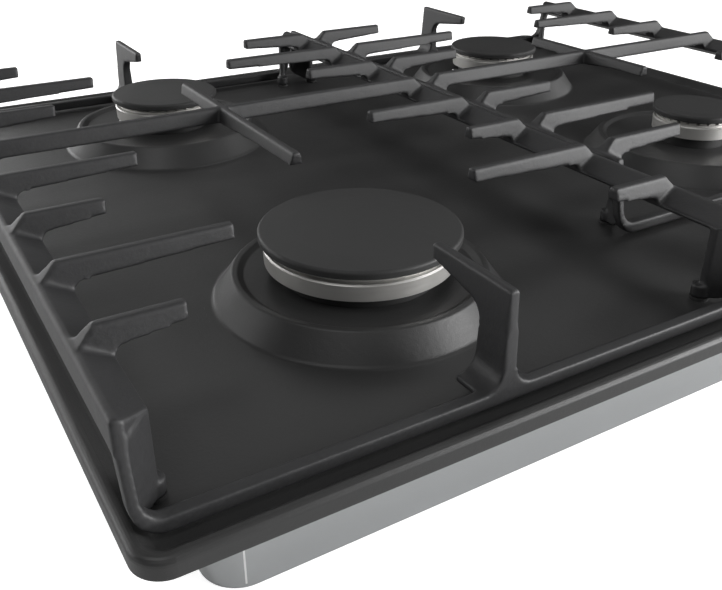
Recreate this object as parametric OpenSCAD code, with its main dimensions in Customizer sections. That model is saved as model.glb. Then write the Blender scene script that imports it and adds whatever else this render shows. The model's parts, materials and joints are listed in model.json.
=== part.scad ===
// Built-in gas cooktop, four burners, two lift-off cast grates, four knobs at the front right.
// Millimetres, +Z up. Origin: middle of the pan in plan, underside of the base tray.

/* [Pan] */
// Width of the enamelled pan over its rim
pan_w = 595; // [591:1:605]
// Depth of the enamelled pan over its rim
pan_d = 520; // [516:1:530]
// Plan radius of the pan's corners
pan_corner_r = 12; // [11.6:0.2:16]
// Sheet thickness of the pan
pan_t = 1.2; // [0.8:0.1:1.5]
// Height of the rim's crest above the worktop
rim_h = 8.2; // [7.5:0.1:10]
// Outer rounding of the rim
rim_r = 3; // [2:0.1:3.4]
// Height of the pan's floor above the worktop
floor_h = 3; // [2.6:0.1:3.6]
// Flat space between the widest burner flange and the edge of its dish
dish_gap = 2.6; // [2.4:0.1:5]
// Height of the raised ring above the floor
dome_h = 12.9; // [11:0.1:13.4]
// Depth of the dish inside the raised ring
dish_h = 2; // [1.5:0.1:2.6]

/* [Base tray] */
// Distance from the pan's side edge in to the tray
tray_in_x = 29.5; // [28:0.5:34]
// Distance from the pan's front or rear edge in to the tray
tray_in_y = 22; // [21:0.5:24]
// Depth of the tray below the worktop
tray_h = 42; // [41:0.5:48]
// Sheet thickness of the tray
tray_t = 1; // [0.8:0.1:1.2]
// Plan radius of the tray's corners
tray_corner_r = 16; // [10:0.5:22]

/* [Burners] */
// Radius of the front left cap
cap_fl_r = 48; // [46:0.5:50]
// Radius of the rear left cap
cap_rl_r = 36; // [34:0.5:38]
// Radius of the front right cap
cap_fr_r = 28; // [27:0.5:30]
// Radius of the rear right cap
cap_rr_r = 36; // [34:0.5:38]
// Thickness of a cap at its edge
cap_t = 4.2; // [3.6:0.1:4.6]
// Height of a burner head's lower tier
head_low_h = 8; // [7:0.1:9]
// Height of a burner head's upper tier
head_up_h = 1.3; // [1:0.1:2]
// Height of the flame ports
port_h = 2; // [1.5:0.1:2.4]
// Width of a flame port
port_w = 1.5; // [1:0.1:1.8]
// Space between the dish and the underside of a head
head_gap = 7; // [6:0.1:8]

/* [Grates] */
// Distance from the pan's side edge in to a grate
grate_in_x = 3.5; // [3:0.1:6]
// Gap between the two grates
grate_gap = 2; // [1:0.1:4]
// Distance from the pan's front edge in to the left grate
grate_in_front = 14; // [13:0.5:18]
// Distance from the pan's rear edge in to both grates
grate_in_rear = 19; // [16:0.5:22]
// Distance from the front right raised ring to the front of the right grate
short_gap = 3; // [2.6:0.1:6]
// Height of the finger tops above the worktop
grate_h = 52.5; // [50:0.5:55]
// Width of a side bar at its top
bar_w = 2.8; // [2.4:0.1:3.4]
// Drop from the finger tops to the top of a side bar
bar_drop = 6.4; // [5:0.1:7.5]
// Drop from the finger tops to the underside of a side bar
bar_low = 18; // [16:0.5:20]
// Width of a finger at its top
finger_w = 4.3; // [3.8:0.1:5]
// Height of a finger at its tip
finger_tip_h = 6.6; // [6:0.1:8]
// Height of a finger where its root fillet starts
finger_root_h = 9; // [8:0.1:10]
// Height of the low bars at the front and rear
low_bar_h = 6.4; // [5.5:0.1:7.5]
// Depth of the low bars
low_bar_d = 5.4; // [4.8:0.1:6.4]
// Depth of a post from front to back
post_d = 18; // [15:0.5:21]
// Outer rounding of the grate's lower corners
leg_r = 13; // [10:0.5:14]
// Height that the rubber feet lift the low bars
foot_h = 1.6; // [1.2:0.1:2.2]
// Radius of a rubber foot
foot_r = 4.5; // [3.6:0.1:5]

/* [Knobs] */
// Distance of the knob row from the pan's front edge
knob_in = 48; // [47:0.5:50]
// Distance of the first knob from the middle
knob_x = 40; // [39:0.5:42]
// Distance of the last knob from the pan's right edge
knob_edge = 59.5; // [58:0.5:61]
// Radius of a knob's skirt
knob_r = 19.5; // [17:0.5:21]
// Height of a knob
knob_h = 20; // [17:0.5:24]
// How far a knob is pushed down to light the burner
push_travel = 4.5; // [3.5:0.1:4.8]
// Radius of a valve spindle
spindle_r = 3; // [2.6:0.1:3.4]

/* [Gas and wiring] */
// Height of the gas rail's centre line
rail_z = 14; // [13.5:0.1:14.5]
// Radius of the gas rail
rail_r = 7; // [6:0.1:7.2]
// Radius of the inlet's pipe thread
inlet_r = 10.48; // [10:0.01:11]
// Radius of a burner's gas pipe
pipe_r = 3; // [2.5:0.1:3.2]
// Space between the gas rail and the pipes that cross above it
pipe_gap = 3; // [2.6:0.1:3.4]
// Bore radius of the mains cable gland
gland_bore_r = 4; // [3:0.1:5]

/* [Hidden] */
$fn = 64;
cut = 1;
fit = 0.3;
run = 0.05;
top_z = tray_h;
floor_z = tray_h + floor_h;
under_z = floor_z - pan_t;
crest_z = tray_h + rim_h;
dish_z = floor_z + dome_h - dish_h;
seat_z = dish_z - pan_t;
head_z = dish_z + head_gap;
grate_z = tray_h + grate_h;
tray_w = pan_w - 2 * tray_in_x;
tray_l = pan_d - 2 * tray_in_y;
grate_w = (pan_w - grate_gap) / 2 - grate_in_x;
col_x = (grate_w + grate_gap) / 2;
grate_front = pan_d / 2 - grate_in_front;
grate_rear = pan_d / 2 - grate_in_rear;
row_share = 0.11088;
row_pitch = (grate_front + grate_rear) * row_share;
knob_y = pan_d / 2 - knob_in;

// Rim section: outer rounding, slope and gutter fillet
rim_slope = 45;
gutter_r = 2.5;
rim_drop = crest_z - floor_z;
rim_turn = (rim_r + gutter_r) * (1 - cos(rim_slope));
rim_in = rim_r + (rim_r + gutter_r) * sin(rim_slope) + (rim_drop - rim_turn) / tan(rim_slope);
floor_lap = 0.6;

// Burners: name order front left, rear left, front right, rear right
burner_x = [-col_x, -col_x, col_x, col_x];
burner_y = [-2.5 * row_pitch, 2.5 * row_pitch, -1.5 * row_pitch, 2.5 * row_pitch];
cap_r = [cap_fl_r, cap_rl_r, cap_fr_r, cap_rr_r];
port_count = [40, 30, 24, 30];
low_tier_share = 0.955;
up_tier_share = 0.885;
port_ring_share = 0.845;
chamber_share = 0.7;
collar_share = 0.8;
tube_share = 0.2;
tube_bore_share = 0.15;
collar_t = 4;
head_floor_t = 2.4;
spigot_h = 4;
tier_edge = 0.7;
cap_crown = 0.5;
cap_edge_r = 1.6;
cap_rib_h = 2.5;
cap_rib_w = 2;
cup_flange_t = 3;
cup_floor_t = 3;
boss_r = 12;
boss_wall = 4;
boss_pad = 16;
pipe_z = rail_z + rail_r + pipe_gap + pipe_r;
boss_z = pipe_z - pipe_r - boss_wall;
cup_floor_z = pipe_z + pipe_r + boss_wall;
jet_r = 4;
jet_hex_r = 5;
jet_h = 12;
jet_bore_r = 0.9;
tube_low_z = cup_floor_z + jet_h - 6 * fit;
probe_r = 2.5;
sensor_r = 2;
probe_up = 6;
tip_up = 3;
tip_r = 0.8;
probe_down = 12;
probe_angle = 62;
sensor_angle = 28;
probe_gap = 0.5;
flange_margin = 3.6;
cup_screw_r = 1.5;
cup_screw_head_r = 2.8;
cup_screw_head_h = 1.6;
cup_screw_in = 3.3;
cup_screw_angles = [-30, 150];

// Raised ring section
dome_slope = 54;
dome_foot_r = 3;
dome_edge_r = 1.8;
dome_turn = (dome_foot_r + dome_edge_r) * (1 - cos(dome_slope));
dome_run = (dome_h - dome_turn) / tan(dome_slope);
crest_w = 1.2;
dish_slope = 35;
dish_fillet_r = 1.6;
dish_turn = (dome_edge_r + dish_fillet_r) * (1 - cos(dish_slope));
dish_run = (dish_h - dish_turn) / tan(dish_slope);
dish_r = flange_r(0) + dish_gap;
crest_r = dish_r + crest_w + (dome_edge_r + dish_fillet_r) * sin(dish_slope) + dish_run;
dome_r = crest_r + (dome_foot_r + dome_edge_r) * sin(dome_slope) + dome_run;

// Grate shape
half_w = grate_w / 2;
short_front = dome_r + dome_foot_r + short_gap - burner_y[2];
edge = 0.5;
finger_draft_share = 0.24;
ramp = 6.6;
tip_draft = 0.6;
bar_out_draft = 0.5;
bar_out_edge = 0.9;
bar_foot = 6;
web_in = 11.7;
web_drop = 12.2;
web_low = 13.6;
web_r = 3;
root_r = web_low - finger_root_h;
low_top = grate_z - floor_z - foot_h - low_bar_h;
low_bot = grate_z - floor_z - foot_h;
leg_w = 4.2;
leg_in_r = 7;
leg_lean = 8.5;
leg_d = 5;
gusset_t = 3.5;
gusset_near = 7;
gusset_mid = 18;
gusset_back = 22;
gusset_top = web_drop + edge;
foot_in = 21;
post_draft = 1.3;
post_lean = 2;
post_flare_r = 8.6;
post_under = 11.5;
post_in_r = 10;
post_base = 3;
short_post_d = short_gap + 2 * dome_foot_r;
mid_row_share = 0.5;
row_shares = [3.5, 2.5, 1.5, -0.5, -1.5, -2.5, -3.5];
left_tip_shares = [0.587, 0.33, 0.587, 0.478, 0.696, 0.43, 0.71];
right_row_shares = [3.5, 2.5, 1.5, -0.5, -1.5, -2.5];
right_tip_shares = [0.577, 0.314, 0.56, 0.577, 0.314, 0.577];
post_clear = [12, 16, 8, 8];
mid_clear = [15.5, 9, 20, 15];
foot_stem_r = 1.9;
foot_stem_h = 3;

// Tray, seal and fixings
flange_share = 0.62;
seal_in = 11;
seal_w = 4.6;
flange_x = (tray_in_x - seal_in - seal_w) * flange_share;
flange_y = (tray_in_y - seal_in - seal_w) * flange_share;
stud_r = 1.5;
stud_h = 5;
stud_in = flange_x / 2;
stud_end = 58;
stud_y = tray_l / 2 - stud_end;
nut_r = 3.1;
nut_h = 2.4;
clamp_end = 118;
clamp_y = tray_l / 2 - clamp_end;
clamp_w = 18;
clamp_t = 2;
clamp_foot_z = 4;
clamp_foot_out = 17;
clamp_h = 30;
clamp_screw_z = 22;
clamp_screw_r = 1.8;
clamp_head_r = 3.6;
clamp_head_h = 2.2;
clamp_slot_h = 9;

// Taps, spindles and knobs
tap_count = 4;
knob_pitch = (pan_w / 2 - knob_edge - knob_x) / (tap_count - 1);
bracket_t = 2;
bracket_d = 42;
bracket_end = 24;
tap_w = 24;
tap_z = tray_t + bracket_t;
neck_r = 9;
neck_h = 7;
tap_clear = 6.8;
tap_h = under_z - tap_z - neck_h - tap_clear;
pocket_r = 7.2;
pocket_deep = 9;
washer_t = 2;
washer_in = 0.6;
tap_lug_w = 9;
tap_lug_t = 3;
tap_screw_r = 1.5;
tap_screw_head_r = 2.6;
tap_screw_head_h = 2;
tap_screw_deep = 4.6;
tap_top = tap_z + tap_h + neck_h;
washer_z = tap_top - washer_in - washer_t;
spindle_deep = 7;
spindle_low = washer_z - spindle_deep;
seal_top_h = 1.2;
seal_ring_r = 11;
knob_hole_r = 8;
seal_lip = 1.2;
knob_z = floor_z + seal_top_h + push_travel + 2 * fit;
spindle_in_knob = 12;
flat_cut = 1;
knob_skirt_h = 4.4;
knob_body_share = 0.86;
knob_top_share = 0.8;
grip_w = 8;
grip_dip = 7;
grip_edge_r = 2;
mark_w = 1.4;
mark_deep = 0.5;
spindle_collar_r = 4.6;
spindle_collar_h = 1.4;

// Gas rail, pipes and electrics
rail_back = 24;
rail_wall = 1.2;
rail_end = 20;
rail_x0 = knob_x - rail_end;
feed_x = knob_x + 2.5 * knob_pitch;
inlet_len = 18;
inlet_bore_r = 6.5;
inlet_nut_r = 13;
inlet_nut_t = 5;
inlet_body = 22;
inlet_body_r = 11.7;
pipe_wall = 0.8;
pipe_run_y = 40;
spud = 3;
gland_x = 60;
gland_z = 20;
gland_r = 7.5;
gland_flange_r = 10;
gland_flange_t = 3;
gland_in = 9;
gen_x = 0;
gen_y = 150;
gen_w = 62;
gen_l = 42;
gen_h = 25;
gen_lug = 8;
gen_lug_t = 2;
gen_post_r = 2.4;
gen_post_h = 4;
gen_screw_r = 1.4;
gen_screw_head_r = 2.6;
block_w = 34;
block_l = 20;
block_h = 15;
block_gap = 9;
switch_w = 16;
switch_l = 7;
switch_h = 14;
switch_z = 14;

enamel = "#2b2b2d";
iron = "#242426";
silver = "#c9c9c6";
alloy = "#b9b6ae";
brass = "#c2a24c";
rubber = "#1d1d1f";

// Points of an arc, from one angle to another
function arc(c, r, a0, a1, n) =
    [for (i = [0:n]) c + r * [cos(a0 + (a1 - a0) * i / n), sin(a0 + (a1 - a0) * i / n)]];
function flip(pts) = [for (i = [len(pts) - 1:-1:0]) pts[i]];
function knob_pos(i) = [knob_x + i * knob_pitch, -knob_y, 0];
function low_tier(i) = cap_r[i] * low_tier_share;
function collar(i) = cap_r[i] * collar_share;
function probe_at(i) = low_tier(i) + probe_gap + probe_r;
function flange_r(i) = probe_at(i) + flange_margin;
function screw_at(i) = collar(i) + cup_screw_in;
function polar(r, a) = [r * cos(a), r * sin(a), 0];

module at_burner(i) {
    translate([burner_x[i], burner_y[i], 0]) children();
}

// A section in X and Z, drawn out along Y between y0 and y1
module along_y(y0, y1) {
    translate([0, y1, 0]) rotate([90, 0, 0]) linear_extrude(y1 - y0) children();
}

// A section in Y and Z, drawn out along X between x0 and x1
module along_x(x0, x1) {
    translate([x0, 0, 0]) rotate([90, 0, 90]) linear_extrude(x1 - x0) children();
}

module round_rect(w, d, r) {
    square([w - 2 * r, d], center = true);
    square([w, d - 2 * r], center = true);
    for (x = [-1, 1], y = [-1, 1])
        translate([x * (w / 2 - r), y * (d / 2 - r)]) circle(r);
}

// A section swept round a rectangle with round corners; its X runs out from the corner's centre
module sweep_rect(w, d, r) {
    for (i = [0:3]) {
        sw = i % 2 == 0 ? w : d;
        sd = i % 2 == 0 ? d : w;
        rotate([0, 0, 90 * i]) translate([sw / 2 - r, sd / 2 - r, 0]) {
            rotate([90, 0, 0]) linear_extrude(sd - 2 * r) children();
            rotate_extrude(angle = 90) children();
        }
    }
}

// Enamelled pan

function rim_line(t) = concat(
    [[t, top_z]],
    arc([rim_r, crest_z - rim_r], rim_r - t, 180, 90 - rim_slope, 8),
    arc([rim_in, floor_z + gutter_r], gutter_r + t, 270 - rim_slope, 270, 4),
    [[rim_in + floor_lap, floor_z - t]]);

module rim_section() {
    line = concat(rim_line(0), flip(rim_line(pan_t)));
    polygon([for (p = line) [pan_corner_r - p[0], p[1]]]);
}

function dome_line(t, hole) = concat(
    [[dome_r + dome_foot_r, floor_z - t]],
    arc([dome_r, floor_z + dome_foot_r], dome_foot_r + t, 270, 270 - dome_slope, 4),
    arc([crest_r, floor_z + dome_h - dome_edge_r], dome_edge_r - t, 90 - dome_slope, 90, 4),
    arc([crest_r - crest_w, floor_z + dome_h - dome_edge_r], dome_edge_r - t, 90, 90 + dish_slope, 3),
    arc([dish_r, dish_z + dish_fillet_r], dish_fillet_r + t, 270 + dish_slope, 270, 3),
    [[hole, dish_z - t]]);

module dome(i) {
    hole = collar(i) + fit;
    difference() {
        rotate_extrude($fn = 120) polygon(concat(dome_line(0, hole), flip(dome_line(pan_t, hole))));
        translate(polar(probe_at(i), probe_angle) + [0, 0, seat_z - cut])
            cylinder(h = pan_t + 2 * cut, r = probe_r + fit);
        translate(polar(probe_at(i), sensor_angle) + [0, 0, seat_z - cut])
            cylinder(h = pan_t + 2 * cut, r = sensor_r + fit);
        for (a = cup_screw_angles)
            translate(polar(screw_at(i), a) + [0, 0, seat_z - cut])
                cylinder(h = pan_t + 2 * cut, r = cup_screw_r + fit);
    }
}

// The pan's border: rim, wall and gutter fillet
module pan_rim() {
    color(enamel) sweep_rect(pan_w, pan_d, pan_corner_r) rim_section();
}

// The pan's four raised rings with their dishes
module pan_rings() {
    color(enamel) for (i = [0:3]) at_burner(i) dome(i);
}

// The pan's floor between its rim and its rings, with the knob holes and the weld studs
module hob_pan() {
    in = rim_in + floor_lap;
    color(enamel) {
        difference() {
            translate([0, 0, under_z]) linear_extrude(pan_t)
                round_rect(pan_w - 2 * in, pan_d - 2 * in, pan_corner_r - in);
            for (i = [0:3])
                at_burner(i) translate([0, 0, under_z - cut])
                    cylinder(h = pan_t + 2 * cut, r = dome_r + dome_foot_r, $fn = 120);
            for (i = [0:tap_count - 1])
                translate(knob_pos(i) + [0, 0, under_z - cut])
                    cylinder(h = pan_t + 2 * cut, r = knob_hole_r);
        }
        for (x = [-1, 1], y = [-1, 0, 1])
            translate([x * (tray_w / 2 + stud_in), y * stud_y, under_z - stud_h])
                cylinder(h = stud_h + pan_t / 2, r = stud_r);
    }
}

// Sheet tray below the pan, hung from its studs
module base_tray() {
    color(silver) difference() {
        union() {
            linear_extrude(under_z) round_rect(tray_w, tray_l, tray_corner_r);
            translate([0, 0, under_z - tray_t]) linear_extrude(tray_t)
                round_rect(tray_w + 2 * flange_x, tray_l + 2 * flange_y, tray_corner_r);
        }
        translate([0, 0, tray_t]) linear_extrude(under_z)
            round_rect(tray_w - 2 * tray_t, tray_l - 2 * tray_t, tray_corner_r - tray_t);
        for (x = [-1, 1], y = [-1, 0, 1])
            translate([x * (tray_w / 2 + stud_in), y * stud_y, under_z - tray_t - cut])
                cylinder(h = tray_t + 2 * cut, r = stud_r + fit);
        for (x = [-1, 1], y = [-1, 1])
            translate([x * tray_w / 2, y * clamp_y, clamp_screw_z]) rotate([0, 90, 0])
                cylinder(h = 2 * tray_t + 2 * cut, r = clamp_screw_r + run, center = true);
        translate([feed_x, tray_l / 2, rail_z]) rotate([90, 0, 0])
            cylinder(h = 2 * tray_t + 2 * cut, r = inlet_r + fit, center = true);
        translate([gland_x, tray_l / 2, gland_z]) rotate([90, 0, 0])
            cylinder(h = 2 * tray_t + 2 * cut, r = gland_r + run, center = true);
    }
}

module sealing_strip() {
    color(rubber) translate([0, 0, top_z]) linear_extrude(under_z - top_z) difference() {
        round_rect(pan_w - 2 * seal_in, pan_d - 2 * seal_in, seal_w + fit);
        round_rect(pan_w - 2 * seal_in - 2 * seal_w, pan_d - 2 * seal_in - 2 * seal_w, fit);
    }
}

// Burners

// Angle at which a burner's gas pipe arrives
pipe_angles = [270, 270, 0, 0];

module burner_cup(i) {
    out = collar(i);
    in = out - collar_t;
    body = [[boss_r, boss_z], [boss_r, cup_floor_z - cup_floor_t], [out, cup_floor_z + cup_floor_t],
            [out, seat_z - cup_flange_t], [flange_r(i), seat_z - cup_flange_t], [flange_r(i), seat_z],
            [out, seat_z], [out, head_z], [in, head_z], [in, cup_floor_z + 2 * cup_floor_t],
            [jet_hex_r + fit, cup_floor_z], [jet_r, cup_floor_z], [jet_r, boss_z]];
    color(alloy) at_burner(i) difference() {
        union() {
            rotate_extrude() polygon(body);
            rotate([0, 0, pipe_angles[i]]) translate([jet_r + cut, -boss_r / 2, boss_z])
                cube([boss_pad - jet_r - cut, boss_r, cup_floor_z - cup_floor_t - boss_z]);
        }
        rotate([0, 0, pipe_angles[i]]) translate([jet_r / 2, 0, pipe_z]) rotate([0, 90, 0])
            cylinder(h = boss_pad, r = pipe_r + run);
        translate(polar(probe_at(i), probe_angle) + [0, 0, seat_z - cup_flange_t - cut])
            cylinder(h = cup_flange_t + 2 * cut, r = probe_r + run);
        translate(polar(probe_at(i), sensor_angle) + [0, 0, seat_z - cup_flange_t - cut])
            cylinder(h = cup_flange_t + 2 * cut, r = sensor_r + run);
        for (a = cup_screw_angles)
            translate(polar(screw_at(i), a) + [0, 0, seat_z - cup_flange_t - cut])
                cylinder(h = cup_flange_t + 2 * cut, r = cup_screw_r + run);
    }
}

module cup_screws() {
    color(silver) for (i = [0:3]) at_burner(i) for (a = cup_screw_angles)
        translate(polar(screw_at(i), a)) {
            translate([0, 0, seat_z - cup_flange_t]) cylinder(h = cup_flange_t + pan_t, r = cup_screw_r);
            translate([0, 0, dish_z]) cylinder(h = cup_screw_head_h, r = cup_screw_head_r);
        }
}

module injectors() {
    color(brass) for (i = [0:3]) at_burner(i) difference() {
        union() {
            translate([0, 0, boss_z]) cylinder(h = cup_floor_z - boss_z, r = jet_r - run);
            translate([0, 0, cup_floor_z]) cylinder(h = jet_h / 3, r = jet_hex_r, $fn = 6);
            translate([0, 0, cup_floor_z + jet_h / 3]) cylinder(h = jet_h / 4, r = jet_r / 2);
        }
        translate([0, 0, boss_z - cut]) cylinder(h = cup_floor_z - boss_z + jet_h, r = jet_bore_r);
        rotate([0, 0, pipe_angles[i]]) translate([0, 0, pipe_z]) rotate([0, 90, 0])
            cylinder(h = boss_r, r = pipe_r - pipe_wall);
    }
}

module probe(i, angle, r) {
    at_burner(i) translate(polar(probe_at(i), angle)) {
        translate([0, 0, seat_z - cup_flange_t - probe_down])
            cylinder(h = probe_down + cup_flange_t + pan_t + probe_up + head_gap, r = r);
        translate([0, 0, seat_z + pan_t + probe_up + head_gap]) cylinder(h = tip_up, r = tip_r);
        translate([0, 0, seat_z - cup_flange_t - probe_down - tip_up]) cylinder(h = tip_up, r = tip_r);
        difference() {
            translate([0, 0, seat_z - cup_flange_t - tip_up]) cylinder(h = tip_up, r = r + tip_r);
            translate([0, 0, seat_z - cup_flange_t - tip_up - cut])
                cylinder(h = tip_up + 2 * cut, r = r / 2);
        }
    }
}

module spark_electrodes() {
    color("white") for (i = [0:3]) probe(i, probe_angle, probe_r);
}

module thermocouples() {
    color(silver) for (i = [0:3]) probe(i, sensor_angle, sensor_r);
}

// Lift-off head: two tiers, flame ports, mixing tube and locating spigot
module burner_head(i) {
    low = low_tier(i);
    up = cap_r[i] * up_tier_share;
    ring = cap_r[i] * port_ring_share;
    room = cap_r[i] * chamber_share;
    spigot = collar(i) - collar_t - fit;
    tube = cap_r[i] * tube_share;
    bore = cap_r[i] * tube_bore_share;
    z1 = head_z + head_low_h;
    z2 = z1 + head_up_h;
    z3 = z2 + port_h;
    floor_top = head_z + head_floor_t;
    shape = [[bore, tube_low_z], [tube, tube_low_z], [tube, head_z - spigot_h],
             [spigot, head_z - spigot_h], [spigot, head_z], [low - tier_edge / 2, head_z],
             [low, z1 - tier_edge], [low - tier_edge, z1], [up, z1], [up, z2], [ring, z2], [ring, z3],
             [room, z3], [room, floor_top], [bore + head_floor_t, floor_top], [bore, floor_top]];
    color(alloy) at_burner(i) difference() {
        rotate_extrude($fn = 96) polygon(shape);
        for (k = [0:port_count[i] - 1])
            rotate([0, 0, 360 * k / port_count[i]]) translate([room - cut, -port_w / 2, z2])
                cube([ring - room + 2 * cut, port_w, port_h + cut]);
    }
}

// Loose cap: crowned disc with a round edge and a locating rib below
module burner_cap(i) {
    r = cap_r[i];
    z0 = head_z + head_low_h + head_up_h + port_h;
    rib = r * chamber_share - fit;
    edge_pts = arc([r - cap_edge_r, z0 + cap_t - cap_edge_r], cap_edge_r, 0, 80, 5);
    shape = concat([[0, z0], [rib - cap_rib_w, z0], [rib - cap_rib_w, z0 - cap_rib_h],
                    [rib, z0 - cap_rib_h], [rib, z0], [r - tier_edge, z0], [r, z0 + tier_edge]],
                   edge_pts, [[r * chamber_share, z0 + cap_t + cap_crown * chamber_share],
                   [0, z0 + cap_t + cap_crown]]);
    color(iron) at_burner(i) rotate_extrude($fn = 96) polygon(shape);
}

// Cast grates, drawn round their own middle with Z = 0 at the finger tops

function section_half(depth) = finger_w / 2 + depth * finger_draft_share;

module finger_section() {
    polygon([[-finger_w / 2 + edge, 0], [finger_w / 2 - edge, 0], [finger_w / 2 + edge / 4, -edge],
             [section_half(bar_low), -bar_low], [-section_half(bar_low), -bar_low],
             [-finger_w / 2 - edge / 4, -edge]]);
}

// Underside of a finger's root at the edge of the bar's web, in X and Z
root_line = arc([web_in + root_r, -web_low], root_r, 90, 180, 6);

// Finger along +X from a side bar's top inner edge: ramp, body, root and fillets down to the bar's web
module bar_finger(reach) {
    profile = concat(
        [[0, -bar_drop], [ramp, 0], [reach - edge, 0], [reach, -edge], [reach - tip_draft, -finger_tip_h]],
        root_line, [[0, -web_low]]);
    intersection() {
        along_y(-bar_low, bar_low) polygon(profile);
        along_x(0, reach + bar_w) finger_section();
    }
    half = section_half(bar_drop) - edge;
    over = half + web_r;
    slope = atan((web_drop - bar_drop) / web_in);
    intersection() {
        along_y(-bar_low, bar_low) polygon(profile);
        translate([0, 0, -bar_drop]) rotate([0, slope, 0]) along_x(-bar_w, web_in + web_r)
            polygon(concat([[-over, -bar_drop]], arc([-over, web_r], web_r, 270, 360, 4),
                           arc([over, web_r], web_r, 180, 270, 4), [[over, -bar_drop]]));
    }
}

// Bar across the whole grate at finger height
module mid_bar() {
    reach = half_w - bar_w;
    right = concat([[reach - ramp, 0], [reach, -bar_drop], [reach, -web_low]],
                   flip([for (p = root_line) [reach - p[0], p[1]]]));
    intersection() {
        along_y(-bar_low, bar_low) polygon(concat(right, flip([for (p = right) [-p[0], p[1]]])));
        along_x(-half_w, half_w) finger_section();
    }
}

// Finger along +X from the middle bar
module mid_finger(reach) {
    profile = [[0, 0], [reach - edge, 0], [reach, -edge], [reach - tip_draft, -finger_tip_h],
               [reach / 2, -finger_tip_h - edge], [finger_root_h, -finger_root_h], [0, -finger_root_h]];
    intersection() {
        along_y(-bar_low, bar_low) polygon(profile);
        along_x(0, reach) finger_section();
    }
}

// Post at the front or rear, with its finger reaching in along +Y from y = 0
module post(reach, deep) {
    side = concat(
        [[0, -low_top - post_base], [0, -low_top], [post_lean, -edge], [post_lean + edge, 0],
         [reach - edge, 0], [reach, -edge], [reach - tip_draft, -finger_tip_h]],
        arc([deep + post_in_r, -post_under - post_in_r], post_in_r, 90, 180, 6),
        [[deep + edge, -low_top - post_base]]);
    w0 = finger_w / 2;
    w1 = w0 + post_draft;
    flare = arc([w1 + post_flare_r, -low_top + post_flare_r], post_flare_r, 180, 270, 6);
    right = concat([[w0 - edge, 0], [w0, -edge]], flare,
                   [[w1 + post_flare_r, -low_top - post_base]]);
    intersection() {
        along_x(-low_top, low_top) polygon(side);
        along_y(0, reach) polygon(concat(right, flip([for (p = right) [-p[0], p[1]]])));
    }
}

// Front or rear frame: low bar, corner legs and gussets; its face is at y = 0 and it goes to +Y
module end_frame() {
    outer = concat([[half_w, -bar_drop - edge]],
                   arc([half_w - leg_r, -low_bot + leg_r], leg_r, 0, -90, 8));
    outline = concat(outer, flip([for (p = outer) [-p[0], p[1]]]));
    gap_x = half_w - leg_w;
    inner = concat([[gap_x, 0]],
                   arc([gap_x - leg_in_r, -low_top + leg_in_r], leg_in_r, 0, -90, 6));
    hole = concat(inner, flip([for (p = inner) [-p[0], p[1]]]));
    strip = [[0, -low_bot], [0, -low_top - edge], [edge, -low_top], [leg_lean, -bar_drop - 2 * edge],
             [leg_lean + edge, -bar_drop - edge], [leg_lean + leg_d, -bar_drop - edge],
             [leg_lean + leg_d, -bar_low], [low_bar_d + edge, -low_top],
             [low_bar_d + edge, -low_top - edge], [low_bar_d, -low_bot]];
    intersection() {
        along_y(0, leg_lean + leg_d) difference() {
            polygon(outline);
            polygon(hole);
        }
        along_x(-half_w, half_w) polygon(strip);
    }
    for (s = [-1, 1]) gusset(s, outline);
}

// Thin web from a leg in to the side bar's inner edge, with the foot's boss at its end
module gusset(s, outline) {
    near = half_w - leg_w;
    deep = half_w - bar_w - web_in;
    plan = [[half_w, 0], [near, 0], [near, gusset_near], [deep, gusset_mid], [deep, gusset_back],
            [deep + gusset_t, gusset_back], [near + edge, gusset_near + edge], [half_w, gusset_t]];
    side = [[0, -low_bot], [0, -low_top - edge], [edge, -low_top], [lean_at(gusset_top), -gusset_top],
            [gusset_back, -gusset_top], [gusset_back, -low_bot]];
    intersection() {
        translate([0, 0, -low_bot]) linear_extrude(low_bot) polygon([for (p = plan) [s * p[0], p[1]]]);
        along_x(-half_w, half_w) polygon(side);
        along_y(0, gusset_back) polygon(outline);
    }
    translate([s * (half_w - leg_r), foot_in, -low_bot]) cylinder(h = low_bar_h, r = foot_r);
}

// How far the legs' face has leant back at a depth below the finger tops
function lean_at(depth) = edge + (leg_lean - edge) * (low_top - depth) / (low_top - bar_drop - 2 * edge);

// Side bar from the front frame to the rear frame: narrow top, outer face and a web that falls inward
module side_bar(s, front, rear) {
    x0 = half_w;
    x1 = half_w - bar_w;
    section = [[x0 - bar_out_edge, -bar_drop], [x0, -bar_drop - bar_out_edge], [x0 + bar_out_draft, -bar_low],
               [x0 - bar_foot, -bar_low], [x1 - web_in, -web_low], [x1 - web_in, -web_drop], [x1, -bar_drop]];
    plan = [[x0 + bar_out_draft, front], [x1, front], [x1, front + gusset_near],
            [x1 - web_in, front + gusset_mid], [x1 - web_in, rear - gusset_mid],
            [x1, rear - gusset_near], [x1, rear], [x0 + bar_out_draft, rear]];
    ends = [[front + lean_at(bar_drop), -bar_drop], [front + lean_at(bar_low), -bar_low],
            [rear - lean_at(bar_low), -bar_low], [rear - lean_at(bar_drop), -bar_drop]];
    intersection() {
        along_y(front, rear) polygon([for (p = section) [s * p[0], p[1]]]);
        translate([0, 0, -bar_low]) linear_extrude(bar_low) polygon([for (p = plan) [s * p[0], p[1]]]);
        along_x(-half_w - bar_w, half_w + bar_w) polygon(ends);
    }
}

function foot_spots(front, rear) =
    [for (s = [-1, 1], y = [front + foot_in, rear - foot_in]) [s * (half_w - leg_r), y, 0]];

// Side bars and end frames
module grate_border(front, rear) {
    for (s = [-1, 1]) side_bar(s, front, rear);
    translate([0, front, 0]) end_frame();
    translate([0, rear, 0]) mirror([0, 1, 0]) end_frame();
}

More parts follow.
